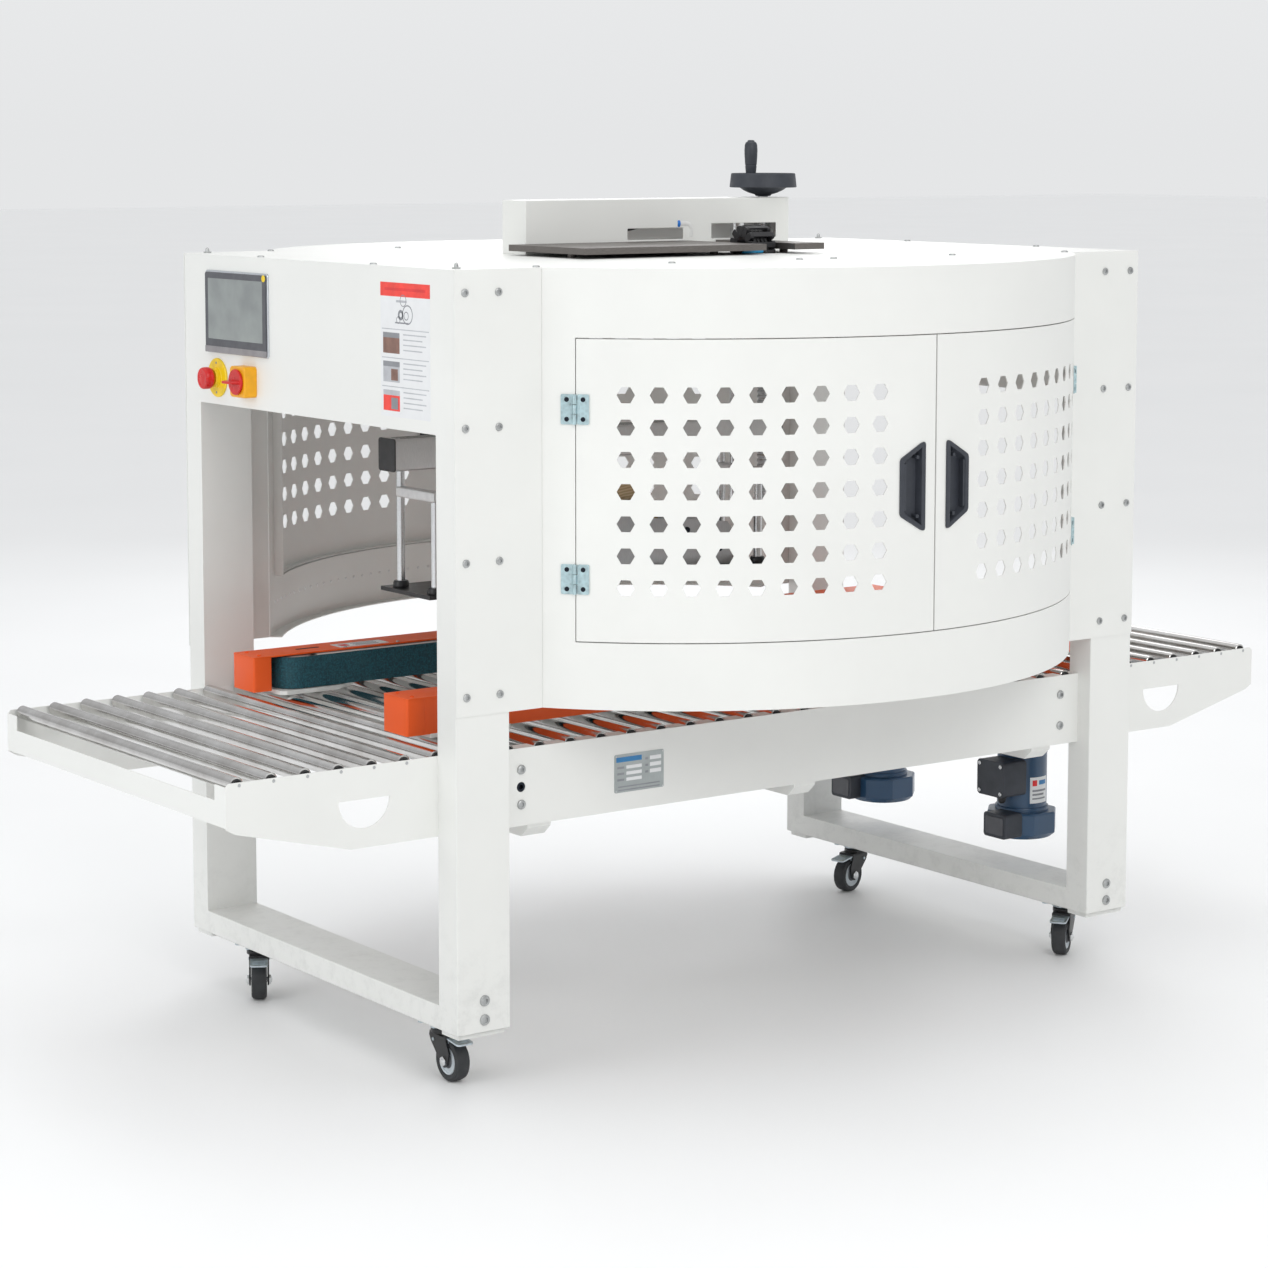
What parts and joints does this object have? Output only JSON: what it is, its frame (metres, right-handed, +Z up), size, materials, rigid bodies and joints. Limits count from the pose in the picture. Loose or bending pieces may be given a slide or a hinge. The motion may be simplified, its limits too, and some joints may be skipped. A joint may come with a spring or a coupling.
{
  "type": "carton sealer",
  "caption": "Carton taping machine: roofed cabinet with curved perforated doors, roller bed and wings, side belt drives, handwheel-set top head, casters.",
  "frame": {"origin": "on the floor under the middle of the machine", "axes": "+X along the conveyor from infeed to outfeed, +Y to the rear, +Z up"},
  "size_m": [2.426, 1.5944, 1.6445],
  "materials": {
    "white_paint": "textured warm-white powder coat",
    "handle_plastic": "grained charcoal polyamide",
    "chrome": "bright chrome plate",
    "zinc": "zinc plate",
    "machined_steel": "turned steel",
    "control_plastic": "moulded dark grey",
    "dark_plate": "blasted dark grey",
    "tape_steel": "satin sheet steel",
    "black_plastic": "moulded black",
    "black_paint": "satin black",
    "wheel_rubber": "dark grey tread",
    "handwheel_plastic": "charcoal phenolic",
    "head_aluminium": "anodised profile",
    "red_plastic": "glossy red",
    "orange_paint": "orange powder coat",
    "belt_rubber": "rough-top teal",
    "motor_paint": "blue enamel"
  },
  "bodies": {
    "machine_frame": {"infeed_portal": "white_paint", "outfeed_portal": "white_paint", "roof_panel": "white_paint", "front_guard": "white_paint", "rear_guard": "white_paint", "bed_frame": "white_paint", "infeed_wing": "white_paint", "outfeed_wing": "white_paint", "bed_rollers": "chrome", "frame_bolts": "zinc", "hinge_fixed_leaves": "zinc", "caster_plates": "zinc", "control_panel": "control_plastic", "mast_cover": "white_paint", "bridge_plate": "dark_plate", "guide_columns": "chrome", "bottom_tape_unit": "tape_steel", "energy_chain": "black_plastic"},
    "door_front_infeed": {"door_front_infeed": "white_paint", "door_hardware_front_infeed": "handle_plastic"},
    "door_front_outfeed": {"door_front_outfeed": "white_paint", "door_hardware_front_outfeed": "handle_plastic"},
    "door_rear_infeed": {"door_rear_infeed": "white_paint", "door_hardware_rear_infeed": "handle_plastic"},
    "door_rear_outfeed": {"door_rear_outfeed": "white_paint", "door_hardware_rear_outfeed": "handle_plastic"},
    "caster_fork_front_infeed": {"caster_fork_front_infeed": "black_paint"},
    "caster_wheel_front_infeed": {"caster_wheel_front_infeed": "wheel_rubber"},
    "caster_fork_front_outfeed": {"caster_fork_front_outfeed": "black_paint"},
    "caster_wheel_front_outfeed": {"caster_wheel_front_outfeed": "wheel_rubber"},
    "caster_fork_rear_infeed": {"caster_fork_rear_infeed": "black_paint"},
    "caster_wheel_rear_infeed": {"caster_wheel_rear_infeed": "wheel_rubber"},
    "caster_fork_rear_outfeed": {"caster_fork_rear_outfeed": "black_paint"},
    "caster_wheel_rear_outfeed": {"caster_wheel_rear_outfeed": "wheel_rubber"},
    "top_head": {"top_head": "head_aluminium", "top_tape_unit": "tape_steel"},
    "handwheel": {"handwheel": "handwheel_plastic", "lift_screw": "machined_steel"},
    "handwheel_grip": {"handwheel_grip": "handwheel_plastic"},
    "belt_unit_front": {"belt_carrier_front": "orange_paint", "drive_belt_front": "belt_rubber", "drive_motor_front": "motor_paint"},
    "belt_unit_rear": {"belt_carrier_rear": "orange_paint", "drive_belt_rear": "belt_rubber", "drive_motor_rear": "motor_paint"},
    "width_screw": {"width_screw": "machined_steel"},
    "estop_button": {"estop_button": "red_plastic"},
    "switch_knob": {"switch_knob": "red_plastic"},
    "infeed_roller_1": {"infeed_roller_1": "chrome"},
    "infeed_roller_2": {"infeed_roller_2": "chrome"},
    "infeed_roller_3": {"infeed_roller_3": "chrome"},
    "infeed_roller_4": {"infeed_roller_4": "chrome"},
    "infeed_roller_5": {"infeed_roller_5": "chrome"},
    "infeed_roller_6": {"infeed_roller_6": "chrome"},
    "outfeed_roller_1": {"outfeed_roller_1": "chrome"},
    "outfeed_roller_2": {"outfeed_roller_2": "chrome"},
    "outfeed_roller_3": {"outfeed_roller_3": "chrome"},
    "outfeed_roller_4": {"outfeed_roller_4": "chrome"},
    "outfeed_roller_5": {"outfeed_roller_5": "chrome"},
    "outfeed_roller_6": {"outfeed_roller_6": "chrome"}
  },
  "joints": [
    {"name": "door_front_infeed_hinge", "type": "hinge", "parent": "machine_frame", "child": "door_front_infeed", "pos_m": [-0.58773, -0.52818, 1.04], "axis": [0, 0, -1], "range_deg": [0, 110]},
    {"name": "door_front_outfeed_hinge", "type": "hinge", "parent": "machine_frame", "child": "door_front_outfeed", "pos_m": [0.58773, -0.52818, 1.04], "axis": [0, 0, 1], "range_deg": [0, 110]},
    {"name": "door_rear_infeed_hinge", "type": "hinge", "parent": "machine_frame", "child": "door_rear_infeed", "pos_m": [-0.58773, 0.52818, 1.04], "axis": [0, 0, 1], "range_deg": [0, 110]},
    {"name": "door_rear_outfeed_hinge", "type": "hinge", "parent": "machine_frame", "child": "door_rear_outfeed", "pos_m": [0.58773, 0.52818, 1.04], "axis": [0, 0, -1], "range_deg": [0, 110]},
    {"name": "caster_swivel_front_infeed", "type": "hinge", "parent": "machine_frame", "child": "caster_fork_front_infeed", "pos_m": [-0.749, -0.355, 0.09], "axis": [0, 0, 1], "continuous": true},
    {"name": "caster_wheel_spin_front_infeed", "type": "hinge", "parent": "caster_fork_front_infeed", "child": "caster_wheel_front_infeed", "pos_m": [-0.749, -0.383, 0.0375], "axis": [1, 0, 0], "continuous": true},
    {"name": "caster_swivel_front_outfeed", "type": "hinge", "parent": "machine_frame", "child": "caster_fork_front_outfeed", "pos_m": [0.749, -0.355, 0.09], "axis": [0, 0, 1], "continuous": true},
    {"name": "caster_wheel_spin_front_outfeed", "type": "hinge", "parent": "caster_fork_front_outfeed", "child": "caster_wheel_front_outfeed", "pos_m": [0.72606, -0.37106, 0.0375], "axis": [0.5736, -0.8192, 0], "continuous": true},
    {"name": "caster_swivel_rear_infeed", "type": "hinge", "parent": "machine_frame", "child": "caster_fork_rear_infeed", "pos_m": [-0.749, 0.309, 0.09], "axis": [0, 0, 1], "continuous": true},
    {"name": "caster_wheel_spin_rear_infeed", "type": "hinge", "parent": "caster_fork_rear_infeed", "child": "caster_wheel_rear_infeed", "pos_m": [-0.763, 0.28475, 0.0375], "axis": [0.866, -0.5, 0], "continuous": true},
    {"name": "caster_swivel_rear_outfeed", "type": "hinge", "parent": "machine_frame", "child": "caster_fork_rear_outfeed", "pos_m": [0.749, 0.309, 0.09], "axis": [0, 0, 1], "continuous": true},
    {"name": "caster_wheel_spin_rear_outfeed", "type": "hinge", "parent": "caster_fork_rear_outfeed", "child": "caster_wheel_rear_outfeed", "pos_m": [0.72195, 0.30175, 0.0375], "axis": [0.2588, -0.9659, 0], "continuous": true},
    {"name": "head_lift", "type": "slide", "parent": "machine_frame", "child": "top_head", "axis": [0, 0, 1], "range_m": [-0.1, 0.27]},
    {"name": "handwheel_turn", "type": "hinge", "parent": "machine_frame", "child": "handwheel", "pos_m": [0.284, 0.06, 1.55], "axis": [0, 0, 1], "range_deg": [-3601, 9721]},
    {"name": "grip_spin", "type": "hinge", "parent": "handwheel", "child": "handwheel_grip", "pos_m": [0.284, 0.1, 1.6], "axis": [0, 0, 1], "continuous": true},
    {"name": "belt_spacing_front", "type": "slide", "parent": "machine_frame", "child": "belt_unit_front", "axis": [0, 1, 0], "range_m": [0, 0.13]},
    {"name": "belt_spacing_rear", "type": "slide", "parent": "machine_frame", "child": "belt_unit_rear", "axis": [0, -1, 0], "range_m": [0, 0.13]},
    {"name": "width_screw_turn", "type": "hinge", "parent": "machine_frame", "child": "width_screw", "pos_m": [-0.643, 0, 0.522], "axis": [0, 1, 0], "range_deg": [0, 4681]},
    {"name": "estop_press", "type": "slide", "parent": "machine_frame", "child": "estop_button", "axis": [1, 0, 0], "range_m": [0, 0.005], "stiffness_N_per_m": 800},
    {"name": "main_switch_turn", "type": "hinge", "parent": "machine_frame", "child": "switch_knob", "pos_m": [-0.81, 0.228, 1.197], "axis": [-1, 0, 0], "range_deg": [0, 90]},
    {"name": "infeed_roller_1_spin", "type": "hinge", "parent": "machine_frame", "child": "infeed_roller_1", "pos_m": [-1.187, 0, 0.586], "axis": [0, 1, 0], "continuous": true},
    {"name": "infeed_roller_2_spin", "type": "hinge", "parent": "machine_frame", "child": "infeed_roller_2", "pos_m": [-1.122, 0, 0.586], "axis": [0, 1, 0], "continuous": true},
    {"name": "infeed_roller_3_spin", "type": "hinge", "parent": "machine_frame", "child": "infeed_roller_3", "pos_m": [-1.057, 0, 0.586], "axis": [0, 1, 0], "continuous": true},
    {"name": "infeed_roller_4_spin", "type": "hinge", "parent": "machine_frame", "child": "infeed_roller_4", "pos_m": [-0.992, 0, 0.586], "axis": [0, 1, 0], "continuous": true},
    {"name": "infeed_roller_5_spin", "type": "hinge", "parent": "machine_frame", "child": "infeed_roller_5", "pos_m": [-0.927, 0, 0.586], "axis": [0, 1, 0], "continuous": true},
    {"name": "infeed_roller_6_spin", "type": "hinge", "parent": "machine_frame", "child": "infeed_roller_6", "pos_m": [-0.862, 0, 0.586], "axis": [0, 1, 0], "continuous": true},
    {"name": "outfeed_roller_1_spin", "type": "hinge", "parent": "machine_frame", "child": "outfeed_roller_1", "pos_m": [1.187, 0, 0.586], "axis": [0, 1, 0], "continuous": true},
    {"name": "outfeed_roller_2_spin", "type": "hinge", "parent": "machine_frame", "child": "outfeed_roller_2", "pos_m": [1.122, 0, 0.586], "axis": [0, 1, 0], "continuous": true},
    {"name": "outfeed_roller_3_spin", "type": "hinge", "parent": "machine_frame", "child": "outfeed_roller_3", "pos_m": [1.057, 0, 0.586], "axis": [0, 1, 0], "continuous": true},
    {"name": "outfeed_roller_4_spin", "type": "hinge", "parent": "machine_frame", "child": "outfeed_roller_4", "pos_m": [0.992, 0, 0.586], "axis": [0, 1, 0], "continuous": true},
    {"name": "outfeed_roller_5_spin", "type": "hinge", "parent": "machine_frame", "child": "outfeed_roller_5", "pos_m": [0.927, 0, 0.586], "axis": [0, 1, 0], "continuous": true},
    {"name": "outfeed_roller_6_spin", "type": "hinge", "parent": "machine_frame", "child": "outfeed_roller_6", "pos_m": [0.862, 0, 0.586], "axis": [0, 1, 0], "continuous": true}
  ],
  "couplings": [
    {"joint": "handwheel_turn", "follows": "head_lift", "rad_per_m": 628.32},
    {"joint": "belt_spacing_rear", "follows": "belt_spacing_front", "ratio": 1},
    {"joint": "width_screw_turn", "follows": "belt_spacing_front", "rad_per_m": 628.32}
  ]
}
